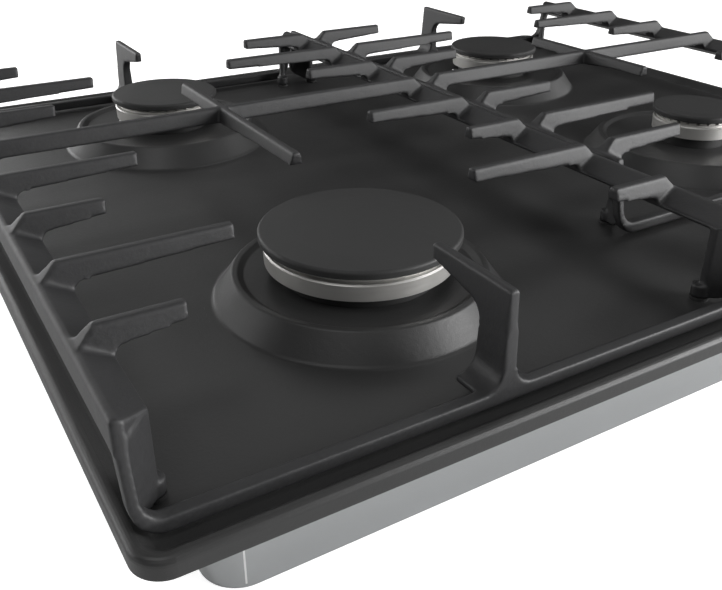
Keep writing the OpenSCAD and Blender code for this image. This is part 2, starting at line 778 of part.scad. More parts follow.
// Border and posts, with the holes that the rubber feet plug into
module grate_frame(front, rear, reaches, deep) {
    difference() {
        union() {
            grate_border(front, rear);
            translate([0, front, 0]) post(reaches[0], deep);
            translate([0, rear, 0]) mirror([0, 1, 0]) post(reaches[1], post_d);
        }
        for (p = foot_spots(front, rear))
            translate(p + [0, 0, -low_bot - cut]) cylinder(h = foot_stem_h + fit + cut, r = foot_stem_r + run);
    }
}

// The fingers of both side bars and the middle bar, cut to the border that carries them
module grate_fingers(front, rear, rows, tips, mid_tips) {
    mid_y = mid_row_share * row_pitch;
    difference() {
        union() {
            for (k = [0:len(rows) - 1], s = [-1, 1])
                translate([s * (half_w - bar_w), rows[k] * row_pitch, 0]) rotate([0, 0, s > 0 ? 180 : 0])
                    bar_finger(half_w - bar_w - tips[k] * half_w);
            translate([0, mid_y, 0]) mid_bar();
            translate([0, mid_y, 0]) rotate([0, 0, -90]) mid_finger(mid_y - mid_tips[0]);
            translate([0, mid_y, 0]) rotate([0, 0, 90]) mid_finger(mid_tips[1] - mid_y);
        }
        grate_border(front, rear);
    }
}

// Places of the finger tips, from the burners of the front and rear row
function post_reach(i, end) = abs(end - burner_y[i]) - cap_r[i] - post_clear[i];
function mid_tip(i) = burner_y[i] + (burner_y[i] < 0 ? 1 : -1) * (cap_r[i] + mid_clear[i]);

module grate_feet(front, rear) {
    for (p = foot_spots(front, rear)) translate(p + [0, 0, -low_bot]) {
        translate([0, 0, -foot_h]) cylinder(h = foot_h, r = foot_r);
        cylinder(h = foot_stem_h, r = foot_stem_r);
    }
}

module grate_left() {
    color(iron) translate([-col_x, 0, grate_z])
        grate_frame(-grate_front, grate_rear, [post_reach(0, -grate_front), post_reach(1, grate_rear)], post_d);
}

module grate_right() {
    color(iron) translate([col_x, 0, grate_z])
        grate_frame(-short_front, grate_rear, [post_reach(2, -short_front), post_reach(3, grate_rear)],
                    short_post_d);
}

module grate_fingers_left() {
    color(iron) translate([-col_x, 0, grate_z])
        grate_fingers(-grate_front, grate_rear, row_shares, left_tip_shares, [mid_tip(0), mid_tip(1)]);
}

module grate_fingers_right() {
    color(iron) translate([col_x, 0, grate_z])
        grate_fingers(-short_front, grate_rear, right_row_shares, right_tip_shares, [mid_tip(2), mid_tip(3)]);
}

module grate_feet_left() {
    color(rubber) translate([-col_x, 0, grate_z]) grate_feet(-grate_front, grate_rear);
}

module grate_feet_right() {
    color(rubber) translate([col_x, 0, grate_z]) grate_feet(-short_front, grate_rear);
}

// Taps, spindles and knobs

module tap_bracket() {
    len_x = (tap_count - 1) * knob_pitch + 2 * bracket_end;
    color(silver) difference() {
        translate([knob_x - bracket_end, -knob_y - bracket_d / 2, tray_t])
            cube([len_x, bracket_d, bracket_t]);
        for (i = [0:tap_count - 1], s = [-1, 1])
            translate(knob_pos(i) + [s * (tap_w + tap_lug_w) / 2, 0, tray_t - cut])
                cylinder(h = bracket_t + 2 * cut, r = tap_screw_r + run);
    }
}

module gas_tap(i) {
    color(brass) translate(knob_pos(i)) difference() {
        union() {
            translate([-tap_w / 2, -tap_w / 2, tap_z]) cube([tap_w, tap_w, tap_h]);
            translate([-tap_w / 2 - tap_lug_w, -tap_lug_w / 2, tap_z])
                cube([tap_w + 2 * tap_lug_w, tap_lug_w, tap_lug_t]);
            translate([0, 0, tap_z + tap_h]) cylinder(h = neck_h, r = neck_r);
        }
        translate([0, 0, tap_top - pocket_deep]) cylinder(h = pocket_deep + cut, r = pocket_r);
        translate([0, 0, spindle_low - push_travel - 2 * fit])
            cylinder(h = tap_h, r = spindle_r + run);
        for (s = [-1, 1])
            translate([s * (tap_w + tap_lug_w) / 2, 0, tap_z - cut])
                cylinder(h = tap_lug_t + 2 * cut, r = tap_screw_r + fit);
        translate([0, tap_w / 2 - spud, pipe_z]) rotate([-90, 0, 0])
            cylinder(h = spud + cut, r = pipe_r + run);
        translate([0, tap_w / 2 - spud, rail_z]) rotate([-90, 0, 0])
            cylinder(h = spud + cut, r = pipe_r + run);
    }
}

module tap_screws() {
    color(silver) for (i = [0:tap_count - 1], s = [-1, 1])
        translate(knob_pos(i) + [s * (tap_w + tap_lug_w) / 2, 0, tap_z + tap_lug_t]) {
            translate([0, 0, -tap_screw_deep]) cylinder(h = tap_screw_deep, r = tap_screw_r);
            cylinder(h = tap_screw_head_h, r = tap_screw_head_r);
        }
}

module push_washer(i) {
    color(silver) translate(knob_pos(i) + [0, 0, washer_z]) difference() {
        cylinder(h = washer_t, r = pocket_r - run);
        translate([0, 0, -cut]) cylinder(h = washer_t + 2 * cut, r = spindle_r + run);
    }
}

module valve_spindle(i) {
    up = knob_z + spindle_in_knob - spindle_low;
    color(silver) translate(knob_pos(i)) {
        difference() {
            translate([0, 0, spindle_low]) cylinder(h = up, r = spindle_r);
            translate([spindle_r - flat_cut, -spindle_r, knob_z]) cube([spindle_r, 2 * spindle_r, knob_h]);
        }
        translate([0, 0, washer_z + washer_t]) cylinder(h = spindle_collar_h, r = spindle_collar_r);
    }
}

// Turned knob with a grip across it and a pointer groove
module knob(i) {
    body_r = knob_r * knob_body_share;
    top_r = knob_r * knob_top_share;
    skirt = [[0, 0], [knob_r - edge, 0], [knob_r, edge], [knob_r, knob_skirt_h - 2 * edge],
             [knob_r - 2 * edge, knob_skirt_h], [body_r, knob_skirt_h],
             [top_r, knob_h - grip_edge_r]];
    turned = concat(skirt, arc([top_r - grip_edge_r, knob_h - grip_edge_r], grip_edge_r, 0, 90, 4),
                    [[0, knob_h]]);
    color("#3a3a3c") translate(knob_pos(i) + [0, 0, knob_z]) difference() {
        rotate_extrude($fn = 96) polygon(turned);
        for (s = [-1, 1])
            translate([s > 0 ? grip_w / 2 : -grip_w / 2 - knob_r, -knob_r, knob_h - grip_dip])
                cube([knob_r, 2 * knob_r, knob_h]);
        translate([-mark_w / 2, 0, knob_h - mark_deep]) cube([mark_w, knob_r, knob_h]);
        difference() {
            translate([0, 0, -cut]) cylinder(h = spindle_in_knob + cut, r = spindle_r + run);
            translate([spindle_r - flat_cut + run, -knob_r, -2 * cut]) cube([knob_r, 2 * knob_r, knob_h]);
        }
    }
}

module knob_seals() {
    ring = [[spindle_r + fit, under_z - seal_lip], [knob_hole_r + seal_lip, under_z - seal_lip],
            [knob_hole_r + seal_lip, under_z], [knob_hole_r - run, under_z],
            [knob_hole_r - run, floor_z], [seal_ring_r, floor_z],
            [seal_ring_r - seal_top_h / 2, floor_z + seal_top_h], [spindle_r + fit, floor_z + seal_top_h]];
    color(rubber) for (i = [0:tap_count - 1]) translate(knob_pos(i)) rotate_extrude() polygon(ring);
}

module ignition_switches() {
    color("#4a4a4d") for (i = [0:tap_count - 1])
        translate(knob_pos(i) + [-switch_w / 2, -tap_w / 2 - switch_l, switch_z])
            cube([switch_w, switch_l, switch_h]);
}

// Gas rail, inlet and pipes

rail_y = -knob_y + rail_back;

// A tube run: straight pieces along the given points with ball corners
module tube(pts, r) {
    for (k = [0:len(pts) - 2]) {
        d = pts[k + 1] - pts[k];
        l = norm(d);
        translate(pts[k]) rotate([0, acos(d[2] / l), atan2(d[1], d[0])]) cylinder(h = l, r = r);
        if (k > 0) translate(pts[k]) sphere(r);
    }
}

module gas_rail() {
    inner = rail_r - rail_wall;
    color(silver) difference() {
        union() {
            tube([[rail_x0, rail_y, rail_z], [feed_x, rail_y, rail_z],
                  [feed_x, tray_l / 2 - inlet_body, rail_z]], rail_r);
            tube([[feed_x, rail_y, rail_z],
                  [knob_x + (tap_count - 1) * knob_pitch + rail_r, rail_y, rail_z]], rail_r);
            for (i = [0:tap_count - 1])
                translate(knob_pos(i) + [0, tap_w / 2 - spud + run, rail_z]) rotate([-90, 0, 0])
                    cylinder(h = rail_back - tap_w / 2 + spud - run, r = pipe_r);
        }
        translate([rail_x0 + rail_wall, rail_y, rail_z]) rotate([0, 90, 0])
            cylinder(h = (tap_count - 1) * knob_pitch, r = inner);
        translate([feed_x, rail_y, rail_z]) rotate([-90, 0, 0]) cylinder(h = pan_d, r = inner);
    }
}

module inlet_elbow() {
    wall = tray_l / 2;
    color(brass) translate([feed_x, 0, rail_z]) rotate([-90, 0, 0]) difference() {
        union() {
            translate([0, 0, wall - inlet_body]) cylinder(h = inlet_body - tray_t, r = inlet_body_r);
            translate([0, 0, wall - tray_t - cut]) cylinder(h = inlet_len + tray_t + cut, r = inlet_r);
            translate([0, 0, wall]) difference() {
                cylinder(h = inlet_nut_t, r = inlet_nut_r, $fn = 6);
                translate([0, 0, -cut]) cylinder(h = inlet_nut_t + 2 * cut, r = inlet_r - run);
            }
        }
        translate([0, 0, wall - inlet_body - cut]) cylinder(h = inlet_body + inlet_len + 2 * cut, r = inlet_bore_r);
    }
}

function pipe_start(k) = [knob_x + k * knob_pitch, -knob_y + tap_w / 2 - spud + run, pipe_z];
pipe_seat = boss_pad - spud;

module gas_pipe_fl() {
    s = pipe_start(0);
    color(alloy) tube([s, [s[0], -knob_y + pipe_run_y, pipe_z], [-col_x, -knob_y + pipe_run_y, pipe_z],
                       [-col_x, burner_y[0] - pipe_seat, pipe_z]], pipe_r);
}

module gas_pipe_rl() {
    s = pipe_start(1);
    y = burner_y[2] + dome_r;
    color(alloy) tube([s, [s[0], y, pipe_z], [-col_x, y, pipe_z],
                       [-col_x, burner_y[1] - pipe_seat, pipe_z]], pipe_r);
}

module gas_pipe_fr() {
    s = pipe_start(2);
    color(alloy) tube([s, [s[0], burner_y[2], pipe_z],
                       [burner_x[2] + pipe_seat, burner_y[2], pipe_z]], pipe_r);
}

module gas_pipe_rr() {
    s = pipe_start(3);
    color(alloy) tube([s, [s[0], burner_y[3], pipe_z],
                       [burner_x[3] + pipe_seat, burner_y[3], pipe_z]], pipe_r);
}

// Electrics

module spark_generator() {
    color("#e4e2dc") translate([gen_x, gen_y, tray_t]) difference() {
        union() {
            translate([-gen_w / 2, -gen_l / 2, 0]) cube([gen_w, gen_l, gen_h]);
            translate([-gen_w / 2 - gen_lug, -gen_lug / 2, 0]) cube([gen_w + 2 * gen_lug, gen_lug, gen_lug_t]);
            for (k = [0:tap_count - 1])
                translate([(k - 1.5) * gen_w / tap_count, 0, gen_h])
                    cylinder(h = gen_post_h, r = gen_post_r);
        }
        for (s = [-1, 1])
            translate([s * (gen_w + gen_lug) / 2, 0, -cut]) cylinder(h = gen_lug_t + 2 * cut, r = gen_screw_r + fit);
    }
}

module generator_screws() {
    color(silver) for (s = [-1, 1])
        translate([gen_x + s * (gen_w + gen_lug) / 2, gen_y, tray_t]) {
            cylinder(h = gen_lug_t, r = gen_screw_r);
            translate([0, 0, gen_lug_t]) cylinder(h = gen_lug_t, r = gen_screw_head_r);
        }
}

module terminal_block() {
    color("#e4e2dc") translate([gland_x - block_w / 2, tray_l / 2 - tray_t - gland_in - block_gap - block_l, tray_t])
        difference() {
            cube([block_w, block_l, block_h]);
            for (k = [1:3])
                translate([k * block_w / 4, -cut, block_h / 2]) rotate([-90, 0, 0])
                    cylinder(h = block_l + 2 * cut, r = block_h / 6);
        }
}

module cable_gland() {
    wall = tray_l / 2;
    color(rubber) translate([gland_x, 0, gland_z]) rotate([-90, 0, 0]) difference() {
        union() {
            translate([0, 0, wall - tray_t - gland_in]) cylinder(h = gland_in + tray_t + gland_flange_t, r = gland_r);
            translate([0, 0, wall]) cylinder(h = gland_flange_t, r = gland_flange_r);
            translate([0, 0, wall - tray_t - gland_flange_t]) cylinder(h = gland_flange_t, r = gland_flange_r);
        }
        translate([0, 0, wall - tray_t - gland_in - cut])
            cylinder(h = gland_in + tray_t + gland_flange_t + 2 * cut, r = gland_bore_r);
    }
}

// Fixings

module fixing_clamps() {
    color(silver) for (x = [0, 1], y = [-1, 1]) mirror([x, 0, 0])
        translate([tray_w / 2, y * clamp_y, 0]) difference() {
            union() {
                translate([0, -clamp_w / 2, clamp_foot_z]) cube([clamp_t, clamp_w, clamp_h]);
                translate([0, -clamp_w / 2, clamp_foot_z]) cube([clamp_foot_out, clamp_w, clamp_t]);
            }
            for (z = [0, clamp_slot_h])
                translate([0, 0, clamp_screw_z + z - clamp_slot_h / 2]) rotate([0, 90, 0])
                    cylinder(h = 2 * clamp_t + 2 * cut, r = clamp_screw_r + fit, center = true);
            translate([-cut, -clamp_screw_r - fit, clamp_screw_z - clamp_slot_h / 2])
                cube([clamp_t + 2 * cut, 2 * clamp_screw_r + 2 * fit, clamp_slot_h]);
        }
}

module clamp_screws() {
    color(silver) for (x = [0, 1], y = [-1, 1]) mirror([x, 0, 0])
        translate([tray_w / 2 - tray_t, y * clamp_y, clamp_screw_z]) rotate([0, 90, 0]) {
            cylinder(h = tray_t + clamp_t, r = clamp_screw_r);
            translate([0, 0, tray_t + clamp_t]) cylinder(h = clamp_head_h, r = clamp_head_r);
        }
}

module tray_nuts() {
    color(silver) for (x = [-1, 1], y = [-1, 0, 1])
        translate([x * (tray_w / 2 + stud_in), y * stud_y, under_z - tray_t - nut_h]) difference() {
            cylinder(h = nut_h, r = nut_r, $fn = 6);
            translate([0, 0, -cut]) cylinder(h = nut_h + 2 * cut, r = stud_r + run);
        }
}

hob_pan();
pan_rim();
pan_rings();
base_tray();
sealing_strip();
burner_cup(0);  // burner_cup_fl
burner_cup(1);  // burner_cup_rl
burner_cup(2);  // burner_cup_fr
burner_cup(3);  // burner_cup_rr
injectors();
spark_electrodes();
thermocouples();
gas_tap(0);  // gas_tap_1
gas_tap(1);  // gas_tap_2
gas_tap(2);  // gas_tap_3
gas_tap(3);  // gas_tap_4
gas_rail();
inlet_elbow();
gas_pipe_fl();
gas_pipe_rl();
gas_pipe_fr();
gas_pipe_rr();
spark_generator();
ignition_switches();
terminal_block();
cable_gland();
knob_seals();
tap_bracket();
fixing_clamps();
clamp_screws();
cup_screws();
tray_nuts();
tap_screws();
generator_screws();
grate_left();
grate_fingers_left();
grate_feet_left();
grate_right();
grate_fingers_right();
grate_feet_right();
burner_head(0);  // burner_head_fl
burner_head(1);  // burner_head_rl
burner_head(2);  // burner_head_fr
burner_head(3);  // burner_head_rr
burner_cap(0);  // burner_cap_fl
burner_cap(1);  // burner_cap_rl
burner_cap(2);  // burner_cap_fr
burner_cap(3);  // burner_cap_rr
push_washer(0);  // push_washer_1
push_washer(1);  // push_washer_2
push_washer(2);  // push_washer_3
push_washer(3);  // push_washer_4
valve_spindle(0);  // valve_spindle_1
valve_spindle(1);  // valve_spindle_2
valve_spindle(2);  // valve_spindle_3
valve_spindle(3);  // valve_spindle_4
knob(0);  // knob_1
knob(1);  // knob_2
knob(2);  // knob_3
knob(3);  // knob_4
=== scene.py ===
"""Dresses a built-in gas cooktop: its grates, pan, burners, tray, knobs and gas parts, in a studio."""
import json
from math import cos, pi, radians, sin

import bmesh
import bpy
from bpy.props import FloatProperty, FloatVectorProperty, IntProperty, PointerProperty
from mathutils import Euler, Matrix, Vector


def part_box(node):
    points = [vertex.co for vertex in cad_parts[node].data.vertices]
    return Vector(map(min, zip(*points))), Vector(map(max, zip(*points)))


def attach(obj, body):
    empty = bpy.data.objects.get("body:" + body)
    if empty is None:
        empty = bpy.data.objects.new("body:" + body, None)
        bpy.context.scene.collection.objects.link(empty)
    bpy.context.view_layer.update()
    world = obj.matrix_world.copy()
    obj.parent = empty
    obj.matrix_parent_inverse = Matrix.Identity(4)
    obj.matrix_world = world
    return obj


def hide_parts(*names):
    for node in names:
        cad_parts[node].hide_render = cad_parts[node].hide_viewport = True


bl_info = {
    "name": "Gas cooktop dressing",
    "version": (1, 0, 0),
    "blender": (4, 5, 0),
    "location": "View3D > Sidebar > Cooktop",
    "description": "Finishes and small parts of a built-in gas cooktop",
    "category": "Object",
}

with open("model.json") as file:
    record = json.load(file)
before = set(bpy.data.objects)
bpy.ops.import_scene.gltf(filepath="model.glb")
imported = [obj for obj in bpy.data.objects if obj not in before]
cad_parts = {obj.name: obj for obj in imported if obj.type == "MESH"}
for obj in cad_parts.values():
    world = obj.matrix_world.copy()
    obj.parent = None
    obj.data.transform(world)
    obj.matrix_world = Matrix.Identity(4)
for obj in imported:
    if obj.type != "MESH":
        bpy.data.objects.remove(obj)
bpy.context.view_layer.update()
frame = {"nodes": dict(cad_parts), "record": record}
NODES = frame["nodes"]
BODIES = frame["record"]["behaviour"]["bodies"]
BURNERS = ("fl", "rl", "fr", "rr")

# Half sides and height of the tray's upright wall, and the radius of its corners, in metres
TRAY_WALL = Vector((0.268, 0.238, 0.0405))
TRAY_CORNER = 0.016
# Smooth faces stay sharp past these angles: on the CAD pieces, and on the small repeated shapes
CAD_CREASE = radians(30)
SMALL_CREASE = radians(35)
# Colours that several finishes share
RUBBER = (0.02, 0.02, 0.02)
# The near-black below is painted shade, laid on the cup collars under the burner heads
SHADE_BLACK = (0.012, 0.012, 0.012)


def body_of_node(name):
    """The body that carries a CAD node."""
    return next(body for body, names in BODIES.items() if name in names)


# Finishes


class Wire:
    """A value that runs through a finish. Sums on wires add Math nodes."""

    def __init__(self, finish, socket):
        self.finish = finish
        self.socket = socket

    def _sum(self, operation, *values):
        return self.finish.add("ShaderNodeMath", {"operation": operation}, dict(enumerate(values)))

    def __add__(self, other):
        return self._sum("ADD", self, other)

    __radd__ = __add__

    def __mul__(self, other):
        return self._sum("MULTIPLY", self, other)

    __rmul__ = __mul__

    def __sub__(self, other):
        return self._sum("SUBTRACT", self, other)

    def __rsub__(self, other):
        return self._sum("SUBTRACT", other, self)

    def clip(self, low, high):
        """The value fitted from low..high to 0..1."""
        return self.finish.add("ShaderNodeMapRange", {"clamp": True}, {0: self, 1: low, 2: high})


class NodeSheet:
    """A node tree under construction."""

    def add(self, kind, settings=None, values=None, out=0):
        """Adds a node, its settings first, then the values or wires of its sockets. Gives one output's wire."""
        node = self.tree.nodes.new(kind)
        for key, value in (settings or {}).items():
            if key == "stops":
                ramp = node.color_ramp.elements
                while len(ramp) < len(value):
                    ramp.new(0.5)
                for stop, (at, colour) in zip(ramp, value):
                    stop.position = at
                    stop.color = (*colour, 1)
            else:
                setattr(node, key, value)
        for key, value in (values or {}).items():
            socket = node.inputs[key]
            if isinstance(value, Wire):
                self.tree.links.new(value.socket, socket)
            else:
                socket.default_value = value
        return Wire(self, node.outputs[out])


class Finish(NodeSheet):
    """A material under construction, with one shader and the wires that feed it."""

    def __init__(self, name):
        self.material = bpy.data.materials.new(name)
        self.material.use_nodes = True
        self.tree = self.material.node_tree
        self.tree.nodes.clear()
        self.place = self.add("ShaderNodeTexCoord", out="Object")

    def noise(self, scale, detail=2.0, roughness=0.5, place=None, out=0):
        """Smooth noise on the object's own coordinates, scale in waves per metre."""
        return self.add("ShaderNodeTexNoise", None, {"Vector": place or self.place, "Scale": scale,
                                                     "Detail": detail, "Roughness": roughness}, out)

    def stretched(self, x, y, z):
        """Object coordinates scaled by axis, for grain that runs one way."""
        return self.add("ShaderNodeMapping", None, {"Vector": self.place, "Scale": (x, y, z)})

    def tint(self, factor, dark, light):
        """A colour between two, by a wire from 0 to 1."""
        return self.add("ShaderNodeMix", {"data_type": "RGBA"},
                        {0: factor, 6: (*dark, 1), 7: (*light, 1)}, out=2)

    def relief(self, height, depth, strength=1.0, below=None):
        """A bump of the given depth in metres."""
        values = {"Height": height, "Distance": depth, "Strength": strength}
        if below:
            values["Normal"] = below
        return self.add("ShaderNodeBump", None, values)

    def shade(self, values):
        """Ends the finish with one Principled shader."""
        shader = self.add("ShaderNodeBsdfPrincipled", None, values)
        self.add_output(shader)
        return self.material

    def add_output(self, shader):
        node = self.tree.nodes.new("ShaderNodeOutputMaterial")
        self.tree.links.new(shader.socket, node.inputs["Surface"])


def darker(colour, share):
    return tuple(c * share for c in colour)


def heading(azimuth, height):
    """A direction of length one, by degrees round from +X and up."""
    a, h = radians(azimuth), radians(height)
    return Vector((cos(a) * cos(h), sin(a) * cos(h), sin(h)))


def pan_enamel(colour):
    """Satin black enamel with a slight pebble and a fine fleck."""
    f = Finish("satin pan enamel")
    cloud = f.noise(6, 3)
    fleck = f.noise(1900, 1)
    pebble = f.noise(420, 2, 0.6)
    rough = f.noise(45, 3) * 0.07 + fleck.clip(0.35, 0.7) * 0.06 + 0.40
    mask = (cloud * 0.7 + fleck.clip(0.62, 0.75) * 0.5)
    return f.shade({"Base Color": f.tint(mask, darker(colour, 0.85), darker(colour, 1.3)), "Roughness": rough,
                    "Specular IOR Level": 0.42,
                    "Normal": f.relief(fleck, 0.00006, 0.5, f.relief(pebble, 0.0003, 0.22))})


def grate_enamel(colour):
    """Matte enamel over cast iron: sandy casting skin, and a painted highlight that lightens the softened
    edges.
    """
    f = Finish("matte grate enamel")
    sand = f.noise(700, 3, 0.6)
    swell = f.noise(90, 2)
    # Pointiness lightens the colour along the edges: a painted highlight
    edge_highlight = f.add("ShaderNodeNewGeometry", out="Pointiness").clip(0.5, 0.62)
    rough = sand * 0.12 + 0.46
    mask = (sand.clip(0.3, 0.75) * 0.5 + edge_highlight * 0.35)
    return f.shade({"Base Color": f.tint(mask, darker(colour, 0.8), darker(colour, 1.5)), "Roughness": rough,
                    "Specular IOR Level": 0.45,
                    "Normal": f.relief(sand, 0.00025, 0.35, f.relief(swell, 0.0012, 0.2))})


def cap_enamel(colour):
    """Matte black enamel of the burner caps, with a faint dust of lighter specks."""
    f = Finish("matte cap enamel")
    fine = f.noise(1500, 2)
    swell = f.noise(140, 2)
    rough = fine * 0.1 + 0.5
    return f.shade({"Base Color": f.tint(fine.clip(0.3, 0.75), darker(colour, 0.9), darker(colour, 1.12)),
                    "Roughness": rough, "Specular IOR Level": 0.4,
                    "Normal": f.relief(fine, 0.00012, 0.3, f.relief(swell, 0.0006, 0.12))})


def burner_alloy(colour, x, y):
    """Satin turned alloy: rings of tool marks round the burner's middle, and a soft stain."""
    f = Finish("satin turned alloy")
    centred = f.add("ShaderNodeMapping", None, {"Vector": f.place, "Location": (-x, -y, 0)})
    rings = f.add("ShaderNodeTexWave", {"wave_type": "RINGS", "rings_direction": "Z"},
                  {"Vector": centred, "Scale": 700, "Distortion": 0.6, "Detail": 1})
    bands = f.noise(900, 2, 0.5, f.stretched(0.05, 0.05, 1))
    stain = f.noise(60, 3)
    rough = bands * 0.14 + stain * 0.1 + 0.34
    shade = f.tint(stain * 0.6 + bands * 0.4, darker(colour, 0.82), darker(colour, 1.12))
    return f.shade({"Base Color": shade, "Roughness": rough, "Metallic": 0.8,
                    "Normal": f.relief(bands, 0.00012, 0.3, f.relief(rings, 0.00006, 0.25))})


def cast_alloy(colour, shade_from):
    """Raw die-cast alloy of the cups, with a grainy skin; the collar above the dish is painted black as shade
    under the burner head.
    """
    f = Finish("die-cast alloy")
    grain = f.noise(900, 3, 0.6)
    stain = f.noise(40, 3)
    height = f.add("ShaderNodeSeparateXYZ", None, {0: f.place}, out="Z")
    fade = 0.0005
    # Above the pan's top the cup turns near-black: painted shade under the burner head
    painted_shade = height.clip(shade_from - fade, shade_from)
    raw = f.tint(stain, darker(colour, 0.7), colour)
    shade = f.add("ShaderNodeMix", {"data_type": "RGBA"}, {0: painted_shade, 6: raw, 7: (*SHADE_BLACK, 1)}, out=2)
    return f.shade({"Base Color": shade, "Roughness": grain * 0.2 + 0.42, "Metallic": 1 - painted_shade,
                    "Normal": f.relief(grain, 0.0002, 0.4)})


def tray_sheet(colour):
    """Cold-rolled metal sheet with a fine grain along its length."""
    f = Finish("rolled tray sheet")
    grain = f.noise(420, 4, 0.65, f.stretched(0.03, 0.03, 1))
    blotch = f.noise(14, 3)
    rough = grain * 0.08 + blotch * 0.06 + 0.18
    shade = f.tint(grain * 0.5 + blotch * 0.5, darker(colour, 0.9), darker(colour, 1.06))
    return f.shade({"Base Color": shade, "Roughness": rough, "Metallic": 0.9,
                    "Normal": f.relief(grain, 0.00008, 0.3, f.relief(blotch, 0.0008, 0.15))})


def plain_metal(name, colour, rough, grain_scale):
    """Plated or turned metal with a fine uneven polish."""
    f = Finish(name)
    grain = f.noise(grain_scale, 3, 0.6)
    cloud = f.noise(60, 3)
    return f.shade({"Base Color": f.tint(cloud, darker(colour, 0.86), darker(colour, 1.08)),
                    "Roughness": grain * 0.16 + rough, "Metallic": 1.0,
                    "Normal": f.relief(grain, 0.00008, 0.35)})


def moulded_plastic(name, colour, rough):
    """Moulded plastic with a fine spark-eroded grain."""
    f = Finish(name)
    grain = f.noise(2200, 2, 0.6)
    cloud = f.noise(50, 2)
    return f.shade({"Base Color": f.tint(cloud, darker(colour, 0.92), darker(colour, 1.08)),
                    "Roughness": grain * 0.14 + rough, "Specular IOR Level": 0.45,
                    "Normal": f.relief(grain, 0.00008, 0.4)})


def soft_rubber(colour):
    """Dull rubber with a dusty skin."""
    f = Finish("dull rubber")
    dust = f.noise(1300, 3, 0.6)
    return f.shade({"Base Color": f.tint(dust.clip(0.3, 0.8), darker(colour, 0.8), darker(colour, 1.8)),
                    "Roughness": dust * 0.1 + 0.62, "Specular IOR Level": 0.35,
                    "Normal": f.relief(dust, 0.0001, 0.4)})


def glazed_ceramic(colour):
    """Glazed ceramic of the spark probes."""
    f = Finish("glazed ceramic")
    cloud = f.noise(200, 2)
    return f.shade({"Base Color": f.tint(cloud, darker(colour, 0.9), colour), "Roughness": cloud * 0.1 + 0.16,
                    "Coat Weight": 0.4, "Coat Roughness": 0.08, "Normal": f.relief(cloud, 0.0002, 0.15)})


def white_floor(colour, glow, mirrored):
    """Pale floor that stays white to the camera, glows less in reflections and keeps the shadow."""
    f = Finish("studio floor")
    ray = f.add("ShaderNodeLightPath", out="Is Camera Ray")
    glossy = f.add("ShaderNodeLightPath", out="Is Glossy Ray")
    through = f.add("ShaderNodeLightPath", out="Is Transmission Ray")
    grain = f.noise(30, 2)
    seen = ray + glossy * mirrored + through
    return f.shade({"Base Color": f.tint(grain, darker(colour, 0.985), colour), "Roughness": 0.9,
                    "Specular IOR Level": 0.1, "Emission Color": (1, 1, 1, 1),
                    "Emission Strength": seen * glow})


class Sky(NodeSheet):
    """A world of soft panels far off, dark between them but white to the camera."""

    # cosine of the angle at which a panel has faded out
    RIM = 0.75

    def __init__(self, name):
        self.world = bpy.data.worlds.new(name)
        self.world.use_nodes = True
        self.tree = self.world.node_tree
        self.tree.nodes.clear()

    def panels(self, panels):
        """One broad low panel for each azimuth and strength."""
        place = self.add("ShaderNodeTexCoord", out="Generated")
        light = self.add("ShaderNodeLightPath", out="Is Camera Ray") * 1.0
        for azimuth, strength in panels:
            facing = self.add("ShaderNodeVectorMath", {"operation": "DOT_PRODUCT"},
                              {0: place, 1: heading(azimuth, 0)}, out="Value")
            spot = self.add("ShaderNodeMapRange", {"interpolation_type": "SMOOTHSTEP"},
                            {0: facing, 1: self.RIM, 2: 1.0})
            light = spot * strength + light
        back = self.add("ShaderNodeBackground", None, {"Color": (1, 1, 1, 1), "Strength": light})
        end = self.tree.nodes.new("ShaderNodeOutputWorld")
        self.tree.links.new(back.socket, end.inputs["Surface"])
        return self.world


# Mesh helpers


def dress(name, material):
    """Puts one finish on a CAD node."""
    mesh = NODES[name].data
    mesh.materials.clear()
    mesh.materials.append(material)


def new_piece(name, mesh, material, body, stands_for=()):
    """A finished piece with its place in its mesh, riding on its body."""
    mesh.name = name
    mesh.materials.clear()
    mesh.materials.append(material)
    piece = bpy.data.objects.new(name, mesh)
    bpy.context.scene.collection.objects.link(piece)
    if stands_for:
        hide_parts(*stands_for)
    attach(piece, body)
    return piece


def shade_smooth(mesh, angle):
    """Smooth faces, kept sharp past an angle."""
    mesh.polygons.foreach_set("use_smooth", [True] * len(mesh.polygons))
    mesh.set_sharp_from_angle(angle=angle)


def merged_copy(nodes):
    """One closed copy of some CAD nodes' meshes, their loose triangles joined."""
    bm = bmesh.new()
    for node in nodes:
        bm.from_mesh(NODES[node].data)
    bmesh.ops.remove_doubles(bm, verts=bm.verts, dist=0.000002)
    mesh = bpy.data.meshes.new(nodes[0] + " copy")
    bm.to_mesh(mesh)
    bm.free()
    return mesh


def evaluated(obj):
    """The plain mesh that an object's modifiers give."""
    bpy.context.view_layer.update()
    deps = bpy.context.evaluated_depsgraph_get()
    return bpy.data.meshes.new_from_object(obj.evaluated_get(deps))


def soft_casting(nodes, voxel, passes, triangles, factor=0.5):
    """One casting made from CAD nodes: its edges and roots rounded as a sand mould leaves them."""
    work = bpy.data.objects.new("casting work", merged_copy(nodes))
    bpy.context.scene.collection.objects.link(work)
    remesh = work.modifiers.new("skin", "REMESH")
    remesh.mode = "VOXEL"
    remesh.voxel_size = voxel
    remesh.adaptivity = 0.0
    ease = work.modifiers.new("ease", "SMOOTH")
    ease.factor = factor
    ease.iterations = passes
    full = evaluated(work)
    thin = work.modifiers.new("thin", "DECIMATE")
    thin.ratio = min(1.0, triangles / (2 * len(full.polygons)))
    mesh = evaluated(work)
    old = work.data
    bpy.data.objects.remove(work)
    for spare in (old, full):
        bpy.data.meshes.remove(spare)
    mesh.polygons.foreach_set("use_smooth", [True] * len(mesh.polygons))
    return mesh


# Repeated shapes


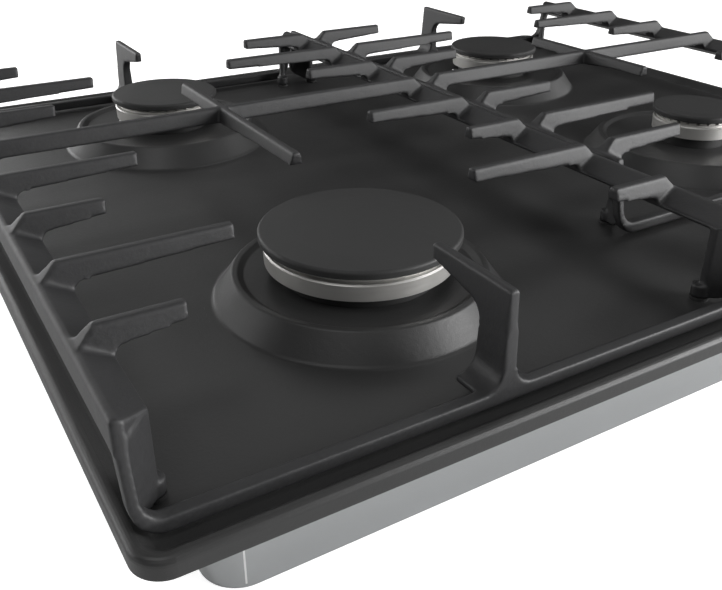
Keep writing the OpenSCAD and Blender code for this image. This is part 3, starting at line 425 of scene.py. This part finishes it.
class Repeat(NodeSheet):
    """A Geometry Nodes tree that repeats one small shape, with named sizes."""

    KINDS = {int: "NodeSocketInt", float: "NodeSocketFloat", Vector: "NodeSocketVector"}

    def __init__(self, name):
        self.name = name
        self.tree = bpy.data.node_groups.new(name, "GeometryNodeTree")
        for way in ("INPUT", "OUTPUT"):
            self.tree.interface.new_socket("Geometry", in_out=way, socket_type="NodeSocketGeometry")
        self.start = self.tree.nodes.new("NodeGroupInput")
        self.sizes = {}

    def size(self, name, value):
        """A named input of the tree, and its value."""
        socket = self.tree.interface.new_socket(name, in_out="INPUT", socket_type=self.KINDS[type(value)])
        self.sizes[socket.identifier] = value
        return Wire(self, self.start.outputs[name])

    def points(self):
        """The points of the mesh that the tree works on."""
        return Wire(self, self.start.outputs["Geometry"])

    def moved(self, shape, place=(0, 0, 0), turn=(0, 0, 0)):
        return self.add("GeometryNodeTransform", None,
                        {"Geometry": shape, "Translation": place, "Rotation": turn})

    def circle(self, sides, radius):
        return self.add("GeometryNodeCurvePrimitiveCircle", None, {"Resolution": sides, "Radius": radius})

    def spread(self, points, shape):
        return self.add("GeometryNodeInstanceOnPoints", None, {"Points": points, "Instance": shape})

    def make(self, shape, material, places=()):
        """Ends the tree and gives its result as a plain mesh."""
        whole = self.add("GeometryNodeRealizeInstances", None, {0: shape})
        dressed = self.add("GeometryNodeSetMaterial", None, {"Geometry": whole, "Material": material})
        end = self.tree.nodes.new("NodeGroupOutput")
        self.tree.links.new(dressed.socket, end.inputs[0])
        seed = bpy.data.meshes.new(self.name + " places")
        seed.from_pydata([tuple(place) for place in places], [], [])
        work = bpy.data.objects.new(self.name, seed)
        bpy.context.scene.collection.objects.link(work)
        modifier = work.modifiers.new("repeat", "NODES")
        modifier.node_group = self.tree
        for key, value in self.sizes.items():
            modifier[key] = value
        mesh = evaluated(work)
        work.modifiers.remove(modifier)
        bpy.data.objects.remove(work)
        bpy.data.meshes.remove(seed)
        shade_smooth(mesh, SMALL_CREASE)
        return mesh


def cross_screws(name, places, turn, radius, height, material):
    """Screw heads with a cross recess, one at each place; the turn points their tops."""
    slot_share, deep_share, top_share, reach_share = 0.26, 0.6, 0.78, 1.1
    r = Repeat(name)
    wide, tall = r.size("Head radius", radius), r.size("Head height", height)
    slot, deep = r.size("Slot width", radius * slot_share), r.size("Slot depth", height * deep_share)
    head = r.add("GeometryNodeMeshCone", None, {"Vertices": 32, "Radius Top": wide * top_share,
                                                "Radius Bottom": wide, "Depth": tall})
    blades = []
    for x, y in ((wide * reach_share, slot), (slot, wide * reach_share)):
        sides = r.add("ShaderNodeCombineXYZ", None, {0: x, 1: y, 2: deep * 2})
        lift = r.add("ShaderNodeCombineXYZ", None, {0: 0.0, 1: 0.0, 2: tall})
        blades.append(r.moved(r.add("GeometryNodeMeshCube", None, {"Size": sides}), lift))
    for blade in blades:
        head = r.add("GeometryNodeMeshBoolean", {"operation": "DIFFERENCE"},
                     {"Mesh 1": head, "Mesh 2": blade})
    return r.make(r.spread(r.points(), r.moved(head, turn=turn)), material, places)


def thread_turns(name, place, count, pitch, radius, ridge, material):
    """Ridges of a pipe thread round an axis along Y."""
    r = Repeat(name)
    ring = r.circle(48, r.size("Radius", radius))
    crest = r.circle(6, r.size("Ridge", ridge))
    turn = r.add("GeometryNodeCurveToMesh", None, {"Curve": ring, "Profile Curve": crest})
    step = r.add("ShaderNodeCombineXYZ", None, {0: 0.0, 1: r.size("Pitch", pitch), 2: 0.0})
    line = r.add("GeometryNodeMeshLine", None, {"Count": r.size("Turns", count), "Offset": step})
    rows = r.spread(line, r.moved(turn, turn=(pi / 2, 0, 0)))
    return r.make(r.moved(rows, r.size("Place", Vector(place))), material)


def grip_ribs(name, place, count, radius, height, rib, material):
    """Upright ribs round a knob."""
    top_share = 0.6
    r = Repeat(name)
    bar = r.add("GeometryNodeMeshCone", None, {"Vertices": 8, "Radius Bottom": r.size("Rib radius", rib),
                                               "Radius Top": rib * top_share,
                                               "Depth": r.size("Height", height)})
    ring = r.add("GeometryNodeMeshCircle", None, {"Vertices": r.size("Ribs", count),
                                                  "Radius": r.size("Ring radius", radius)})
    return r.make(r.moved(r.spread(ring, bar), r.size("Place", Vector(place))), material)


def corner_highlight_beads(name, wall, corner, turn, radius, material):
    """Thin upright beads in bright metal, one on each rounded corner, turned a little from the front or rear
    face; they give the tray's corners a painted highlight line.
    """
    r = Repeat(name)
    margin = corner / 8
    foot, tall = r.size("Foot", margin), r.size("Height", wall.z - 2 * margin)
    end = r.add("ShaderNodeCombineXYZ", None, {0: 0.0, 1: 0.0, 2: tall})
    line = r.add("GeometryNodeCurvePrimitiveLine", None, {"End": end})
    bead = r.add("GeometryNodeCurveToMesh", None,
                 {"Curve": line, "Profile Curve": r.circle(12, r.size("Radius", radius)), "Fill Caps": True})
    # Each bead stands on its corner as a painted highlight line
    sunk_share = 0.4
    out = corner - radius * sunk_share
    places = [(side * (wall.x - corner + out * sin(turn)), way * (wall.y - corner + out * cos(turn)), 0)
              for side in (-1, 1) for way in (-1, 1)]
    lift = r.add("ShaderNodeCombineXYZ", None, {0: 0.0, 1: 0.0, 2: foot})
    return r.make(r.spread(r.points(), r.moved(bead, lift)), material, places)


# Settings


class CooktopSettings(bpy.types.PropertyGroup):
    """Sizes and colours of the cooktop's finishes."""

    enamel_colour: FloatVectorProperty(
        name="Pan enamel", description="Colour of the pan", subtype="COLOR",
        min=0, max=1, default=(0.026, 0.026, 0.026))
    iron_colour: FloatVectorProperty(
        name="Grate enamel", description="Colour of the grates", subtype="COLOR",
        min=0, max=1, default=(0.022, 0.022, 0.023))
    cap_colour: FloatVectorProperty(
        name="Cap enamel", description="Colour of the caps", subtype="COLOR",
        min=0, max=1, default=(0.026, 0.026, 0.026))
    alloy_colour: FloatVectorProperty(
        name="Burner alloy", description="Colour of the burner heads", subtype="COLOR",
        min=0, max=1, default=(0.56, 0.55, 0.53))
    tray_colour: FloatVectorProperty(
        name="Tray sheet", description="Colour of the base tray", subtype="COLOR",
        min=0, max=1, default=(0.43, 0.44, 0.445))
    casting_grain: FloatProperty(
        name="Casting grain", description="Cell size of the rounded casting", subtype="DISTANCE", unit="LENGTH",
        default=0.0008, min=0.0006, max=0.003)
    casting_passes: IntProperty(
        name="Casting rounding", description="Smoothing passes on the casting", default=6, min=0, max=20)
    casting_triangles: IntProperty(
        name="Casting triangles", description="Most triangles that one casting keeps",
        default=160000, min=10000)
    lens: FloatProperty(
        name="Lens", description="Focal length of the camera, millimetres", default=42.06, min=10, max=200)
    eye: FloatVectorProperty(
        name="Camera", description="Place of the camera", subtype="TRANSLATION", unit="LENGTH",
        default=(-0.33224, -0.44364, 0.23836))
    lamp_share: FloatProperty(
        name="Lamps", description="Power of all lamps against the set level", default=1.0, min=0)


def settings():
    return bpy.context.scene.cooktop


class PlaceCamera(bpy.types.Operator):
    """Sets the camera at the front left corner, a hand above the worktop"""

    bl_idname = "cooktop.place_camera"
    bl_label = "Place camera"

    def execute(self, context):
        data = bpy.data.cameras.new("view camera")
        data.lens = settings().lens
        data.sensor_width = 36.0
        data.sensor_fit = "HORIZONTAL"
        data.clip_start = 0.01
        camera = bpy.data.objects.new("view camera", data)
        camera.location = settings().eye
        yaw, pitch, roll = radians(30.958), radians(28.704), radians(0.150)
        turn = Euler((pi / 2 - pitch, 0, -yaw)).to_matrix() @ Euler((0, 0, roll)).to_matrix()
        camera.rotation_euler = turn.to_euler()
        context.scene.collection.objects.link(camera)
        context.scene.camera = camera
        return {"FINISHED"}


class BuildStudio(bpy.types.Operator):
    """Pale floor, soft sky and a ring of soft lamps"""

    bl_idname = "cooktop.build_studio"
    bl_label = "Build studio"

    FLOOR_REACH = 6.0
    FLOOR_COLOUR = (0.8, 0.8, 0.8)
    # how strongly the floor glows to the camera, and the share of it that reflections see
    FLOOR_GLOW = 0.8
    GLOW_MIRRORED = 0.22
    AIM = Vector((0, -0.05, 0.05))
    # name, azimuth from +X and height in degrees, distance and side in metres, power in watts
    LAMPS = (
        ("front right box", -50, 12, 1.5, 0.7, 19.0),
        ("near front box", -60, 22, 0.85, 0.4, 1.2),
        ("left top box", 210, 55, 1.5, 0.7, 5.2),
        ("left front box", 230, 32, 1.5, 0.7, 1.1),
        ("rear right top box", 40, 55, 1.5, 0.7, 2.8),
        ("rear box", 110, 12, 1.5, 0.7, 6.8),
        ("rear top box", 90, 40, 1.0, 0.4, 0.6),
        ("rear left box", 150, 12, 1.5, 0.7, 6.5),
    )
    # azimuth and strength of the broad low panels in the sky
    PANELS = ((-20, 5.0), (100, 0.4))

    def execute(self, context):
        scene = context.scene
        scene.view_settings.view_transform = "Standard"
        bm = bmesh.new()
        bmesh.ops.create_grid(bm, x_segments=8, y_segments=8, size=self.FLOOR_REACH)
        mesh = bpy.data.meshes.new("studio floor")
        bm.to_mesh(mesh)
        bm.free()
        mesh.materials.append(white_floor(self.FLOOR_COLOUR, self.FLOOR_GLOW, self.GLOW_MIRRORED))
        floor = bpy.data.objects.new("studio_floor", mesh)
        scene.collection.objects.link(floor)
        scene.world = Sky("studio sky").panels(self.PANELS)
        share = settings().lamp_share
        for name, azimuth, height, distance, side, power in self.LAMPS:
            self.lamp(name, heading(azimuth, height) * distance, side, power * share)
        return {"FINISHED"}

    def lamp(self, name, reach, side, power):
        data = bpy.data.lights.new(name, "AREA")
        data.shape = "SQUARE"
        data.size = side
        data.energy = power
        lamp = bpy.data.objects.new(name, data)
        lamp.location = self.AIM + reach
        lamp.rotation_euler = (-reach).to_track_quat("-Z", "Y").to_euler()
        bpy.context.scene.collection.objects.link(lamp)


class CastGrates(bpy.types.Operator):
    """Both grates as rounded castings, and their rubber feet"""

    bl_idname = "cooktop.cast_grates"
    bl_label = "Cast grates"

    def execute(self, context):
        enamel = grate_enamel(settings().iron_colour)
        for side in ("left", "right"):
            nodes = ("grate_" + side, "grate_fingers_" + side)
            voxel = settings().casting_grain * 1
            mesh = soft_casting(nodes, voxel, settings().casting_passes, settings().casting_triangles)
            new_piece("cast_grate_" + side, mesh, enamel, body_of_node(nodes[0]), nodes)
            dress("grate_feet_" + side, soft_rubber(RUBBER))
        return {"FINISHED"}


class FinishPan(bpy.types.Operator):
    """Enamel on the pan, and the sealing strip below its rim"""

    bl_idname = "cooktop.finish_pan"
    bl_label = "Finish pan"

    def execute(self, context):
        enamel = pan_enamel(settings().enamel_colour)
        for name in ("hob_pan", "pan_rim", "pan_rings"):
            dress(name, enamel)
            shade_smooth(NODES[name].data, CAD_CREASE)
        dress("sealing_strip", soft_rubber(RUBBER))
        return {"FINISHED"}


class FinishBurners(bpy.types.Operator):
    """Caps, turned heads, cups, jets and probes"""

    bl_idname = "cooktop.finish_burners"
    bl_label = "Finish burners"

    def execute(self, context):
        caps = cap_enamel(settings().cap_colour)
        # The cups are painted near-black above the pan's top, as shade under the heads
        cups = cast_alloy(settings().alloy_colour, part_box("hob_pan")[1].z)
        for burner in BURNERS:
            low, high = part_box("burner_head_" + burner)
            middle = (low + high) / 2
            dress("burner_head_" + burner, burner_alloy(settings().alloy_colour, middle.x, middle.y))
            dress("burner_cap_" + burner, caps)
            dress("burner_cup_" + burner, cups)
            for part in ("burner_head_", "burner_cap_"):
                shade_smooth(NODES[part + burner].data, CAD_CREASE)
        dress("injectors", plain_metal("turned brass", (0.72, 0.55, 0.25), 0.22, 900))
        dress("spark_electrodes", glazed_ceramic((0.82, 0.80, 0.75)))
        dress("thermocouples", plain_metal("bright steel", (0.55, 0.55, 0.55), 0.22, 900))
        self.screws(plain_metal("plated steel", (0.5, 0.5, 0.5), 0.3, 1200))
        return {"FINISHED"}

    def screws(self, steel):
        """Two screws with a cross recess hold each cup under its dish."""
        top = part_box("cup_screws")[1].z
        radius, head, beyond_cap, cap_share = 0.0028, 0.0016, 0.0033, 0.8
        places = []
        for burner in BURNERS:
            cap_low, cap_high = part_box("burner_cap_" + burner)
            middle = (cap_low + cap_high) / 2
            reach = (cap_high.x - cap_low.x) / 2 * cap_share + beyond_cap
            for angle in (-30, 150):
                across = heading(angle, 0) * reach
                places.append((middle.x + across.x, middle.y + across.y, top - head))
        mesh = cross_screws("cup screw heads", places, (0, 0, 0), radius, head, steel)
        new_piece("cup_screw_heads", mesh, steel, body_of_node("cup_screws"), ("cup_screws",))


class FinishTray(bpy.types.Operator):
    """Sheet of the base tray, its clamps and fasteners"""

    bl_idname = "cooktop.finish_tray"
    bl_label = "Finish tray"

    def execute(self, context):
        dress("base_tray", tray_sheet(settings().tray_colour))
        shade_smooth(NODES["base_tray"].data, CAD_CREASE)
        # A bead on each tray corner in metal much brighter than the sheet: a painted highlight line
        bright = plain_metal("highlight bead metal", (0.86, 0.86, 0.86), 0.1, 1200)
        bead_turn, bead_radius = radians(15), 0.0005
        highlight_beads = corner_highlight_beads("tray seams", TRAY_WALL, TRAY_CORNER, bead_turn, bead_radius, bright)
        new_piece("tray_seams", highlight_beads, bright, body_of_node("base_tray"))
        zinc = plain_metal("zinc plate", (0.55, 0.55, 0.54), 0.3, 700)
        for name in ("fixing_clamps", "clamp_screws", "tray_nuts"):
            dress(name, zinc)
        low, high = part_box("clamp_screws")
        middle = (low + high) / 2
        head, height, sunk, radius_share = 0.0036, 0.0022, 0.0012, 0.86
        for side, x, turn in (("left", low.x + sunk, -pi / 2), ("right", high.x - sunk, pi / 2)):
            places = [(x, y, middle.z) for y in (low.y + head, high.y - head)]
            mesh = cross_screws("clamp screw heads " + side, places, (0, turn, 0), head * radius_share,
                                height / 2, zinc)
            new_piece("clamp_screw_heads_" + side, mesh, zinc, body_of_node("clamp_screws"))
        return {"FINISHED"}


class FinishKnobs(bpy.types.Operator):
    """Knobs, their seals, spindles and push washers"""

    bl_idname = "cooktop.finish_knobs"
    bl_label = "Finish knobs"

    def execute(self, context):
        plastic = moulded_plastic("knob plastic", (0.03, 0.03, 0.031), 0.34)
        steel = plain_metal("spindle steel", (0.58, 0.58, 0.57), 0.2, 900)
        ribs, ring_radius, rib_height, rib_radius, rib_middle = 44, 0.0163, 0.0078, 0.0006, 0.0048
        for k in "1234":
            dress("knob_" + k, plastic)
            shade_smooth(NODES["knob_" + k].data, CAD_CREASE)
            dress("valve_spindle_" + k, steel)
            dress("push_washer_" + k, steel)
            low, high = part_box("knob_" + k)
            middle = (low + high) / 2
            mesh = grip_ribs("ribs of knob " + k, (middle.x, middle.y, low.z + rib_middle), ribs, ring_radius,
                             rib_height, rib_radius, plastic)
            new_piece("knob_ribs_" + k, mesh, plastic, body_of_node("knob_" + k))
        dress("knob_seals", soft_rubber((0.03, 0.03, 0.03)))
        return {"FINISHED"}


class FinishGasParts(bpy.types.Operator):
    """Taps, rail, pipes, inlet and the spark ignition"""

    bl_idname = "cooktop.finish_gas_parts"
    bl_label = "Finish gas parts"

    def execute(self, context):
        brass = plain_metal("tap brass", (0.70, 0.53, 0.25), 0.26, 700)
        steel = plain_metal("rail steel", (0.5, 0.5, 0.5), 0.32, 500)
        pipe = plain_metal("pipe alloy", (0.66, 0.65, 0.63), 0.3, 600)
        pale = moulded_plastic("pale plastic", (0.72, 0.70, 0.66), 0.4)
        dark = moulded_plastic("switch plastic", (0.04, 0.04, 0.042), 0.4)
        for k in "1234":
            dress("gas_tap_" + k, brass)
        for burner in BURNERS:
            dress("gas_pipe_" + burner, pipe)
        dress("inlet_elbow", brass)
        low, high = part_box("inlet_elbow")
        middle = (low + high) / 2
        turns, pitch, radius, ridge, thread_length = 9, 0.0013, 0.01048, 0.00045, 0.0118
        mesh = thread_turns("inlet thread", (middle.x, high.y - thread_length, middle.z), turns, pitch, radius,
                            ridge, brass)
        new_piece("inlet_thread", mesh, brass, body_of_node("inlet_elbow"))
        for name in ("gas_rail", "tap_bracket", "tap_screws", "generator_screws"):
            dress(name, steel)
        for name in ("spark_generator", "terminal_block"):
            dress(name, pale)
        dress("ignition_switches", dark)
        dress("cable_gland", soft_rubber(RUBBER))
        return {"FINISHED"}


class CooktopPanel(bpy.types.Panel):
    """Lists the cooktop's steps in the sidebar"""

    bl_idname = "VIEW3D_PT_cooktop"
    bl_label = "Cooktop"
    bl_space_type = "VIEW_3D"
    bl_region_type = "UI"
    bl_category = "Cooktop"

    def draw(self, context):
        for operator in OPERATORS:
            self.layout.operator(operator.bl_idname)
        for name in CooktopSettings.__annotations__:
            self.layout.prop(settings(), name)


OPERATORS = (PlaceCamera, BuildStudio, CastGrates, FinishPan, FinishBurners, FinishTray, FinishKnobs,
             FinishGasParts)
CLASSES = (CooktopSettings, *OPERATORS, CooktopPanel)


def register():
    for cls in CLASSES:
        bpy.utils.register_class(cls)
    bpy.types.Scene.cooktop = PointerProperty(type=CooktopSettings)


def unregister():
    del bpy.types.Scene.cooktop
    for cls in reversed(CLASSES):
        bpy.utils.unregister_class(cls)


def main():
    register()
    for operator in OPERATORS:
        group, name = operator.bl_idname.split(".")
        getattr(getattr(bpy.ops, group), name)()


if __name__ == "__main__":
    main()
